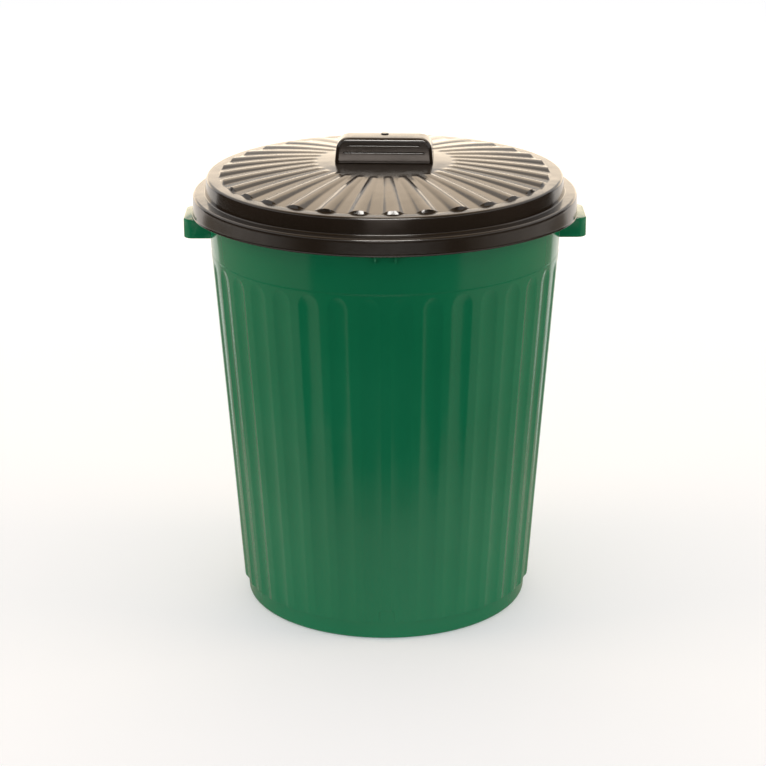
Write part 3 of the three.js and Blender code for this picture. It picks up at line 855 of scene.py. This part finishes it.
def card_material(name, near_grey, far_grey, near, far, directions=(1, 1, 0)):
    """A matt card whose grey changes with the distance from the bin. Light passes it from behind."""
    material, tree = new_material(name)
    share = distance_share(tree, near, far, directions)
    diffuse = node(tree, "ShaderNodeBsdfDiffuse")
    tree.links.new(mix_colours(tree, share, (near_grey,) * 3, (far_grey,) * 3), diffuse.inputs["Color"])
    clear = node(tree, "ShaderNodeBsdfTransparent")
    sided = node(tree, "ShaderNodeMixShader")
    tree.links.new(node(tree, "ShaderNodeNewGeometry").outputs["Backfacing"], sided.inputs[0])
    tree.links.new(diffuse.outputs["BSDF"], sided.inputs[1])
    tree.links.new(clear.outputs["BSDF"], sided.inputs[2])
    output = node(tree, "ShaderNodeOutputMaterial")
    tree.links.new(sided.outputs["Shader"], output.inputs["Surface"])
    return material


def make_cards():
    """Cards out of the camera's sight that the gloss reflects: a grey one around the bin, a dark one on
    the floor further in front, a dark wall that bends around the front of the set, and a dark ceiling."""
    grey = card_material("grey_card", NEAR_GREY, CARD_GREY, 0.45, 0.85)
    fading = card_material("fading_card", NEAR_GREY, DARK_GREY, 0.46, 0.66, (0, 1, 0))
    dark = card_material("dark_card", DARK_GREY, DARK_GREY, 0, 1)

    side, back, far = 2.6, 0.15, 2.7
    wing_near, wing_far, wing_back = 0.2, 1.5, 1.6
    corners = [(-side, -far), (side, -far), (side, back), (-side, back)]
    corners += [(wing_near, back), (side, wing_back), (wing_far, wing_back)]
    corners += [(-wing_near, back), (-wing_far, wing_back), (-side, wing_back)]
    faces = [(0, 1, 2, 3), (4, 2, 5, 6), (7, 8, 9, 3)]
    around = stage_surface("grey_floor_card", [(x, y, CARD_LIFT) for x, y in corners], faces, grey)

    right_edge = [(0, 0.44), (0.33, 0.5), (0.6, 0.64), (2.19, 1.9), (2.19, far)]
    outline = [(x, -y, 2 * CARD_LIFT) for x, y in right_edge]
    outline += [(-x, -y, 2 * CARD_LIFT) for x, y in reversed(right_edge[1:])]
    ahead = stage_surface("dark_floor_card", outline, [tuple(reversed(range(len(outline))))], fading)

    turns = np.radians(np.linspace(-130, 130, 53))
    radius, top = 3.4, 1.7
    low = [(radius * math.sin(t), -radius * math.cos(t), 0) for t in turns]
    high = [(x, y, top) for x, y, _ in low]
    count = len(low)
    strips = [(i + 1, i, count + i, count + i + 1) for i in range(count - 1)]
    wall = stage_surface("dark_wall_card", low + high, strips, dark)
    front, rear, height = -2.9, 1.2, 3.3
    corners = [(-side, rear, height), (side, rear, height), (side, front, height), (-side, front, height)]
    ceiling = stage_surface("dark_ceiling_card", corners, [(0, 1, 2, 3)], dark)
    for card in (around, ahead, wall, ceiling):
        card.visible_camera = False
        card.visible_shadow = False
    for card in (around, wall, ceiling):
        card.visible_diffuse = False


def area_light(name, place, width, height, radiance, colour, seen_in="diffuse glossy"):
    """A soft rectangular light that faces the bin; a reflection of it shows it at its radiance."""
    data = bpy.data.lights.new(name, "AREA")
    data.shape = "RECTANGLE"
    data.size = width
    data.size_y = height
    data.energy = radiance * math.pi * width * height
    data.color = colour
    light = bpy.data.objects.new(name, data)
    bpy.context.scene.collection.objects.link(light)
    aim = np.array(LAMP_TARGET) - np.array(place)
    light.location = place
    light.rotation_euler = (
        math.atan2(math.hypot(aim[0], aim[1]), -aim[2]),
        0,
        math.atan2(aim[1], aim[0]) - math.pi / 2,
    )
    light.visible_camera = False
    light.visible_diffuse = "diffuse" in seen_in
    light.visible_glossy = "glossy" in seen_in


def make_lights():
    """Soft lights all round. The key lamp gives only glints, and the two at the sides only light."""
    warm = (1, 0.72, 0.42)
    area_light("back_softbox", (0, 2.5, 2.3), 3.6, 1.3, 0.5, warm)
    area_light("middle_back_softbox", (0, 2.4, 2.2), 1.5, 1.2, 1.4, warm)
    area_light("low_back_softbox", (0, 2.9, 0.85), 5.0, 1.16, 2.0, (1, 0.77, 0.5))
    area_light("overhead_softbox", (0, 0.4, 2.8), 4.2, 2.6, 0.6, warm)
    area_light("front_softbox", (0, -3.3, 0.96), 2.0, 0.4, 4.4, (1, 0.87, 0.78))
    area_light("key_lamp", (0, -1.9, 3.0), 1.6, 0.6, 30.0, (1, 0.96, 0.9), "glossy")
    for side in (-1, 1):
        area_light("side_softbox", (2.6 * side, -0.4, 2.3), 1.6, 1.0, 6.0, warm, "diffuse")


def make_camera():
    """The photograph's view: its place, tilt, lens and small roll were fitted to the bin's rings."""
    frame_pixels = 766
    focal_pixels = 2297
    place = (-0.0034, -2.958, 1.303)
    pitch = math.radians(90 - 18.84)
    roll = math.radians(-0.24)
    data = bpy.data.cameras.new("camera")
    data.sensor_width = 36
    data.lens = focal_pixels / frame_pixels * data.sensor_width
    camera = bpy.data.objects.new("camera", data)
    bpy.context.scene.collection.objects.link(camera)
    camera.location = place
    camera.rotation_euler = (Matrix.Rotation(pitch, 3, "X") @ Matrix.Rotation(roll, 3, "Z")).to_euler()
    bpy.context.scene.camera = camera


make_bin()
make_handles()
make_lid()
make_grip()
make_world()
make_floor()
make_cards()
make_lights()
make_camera()
bpy.context.scene.view_settings.view_transform = "Standard"
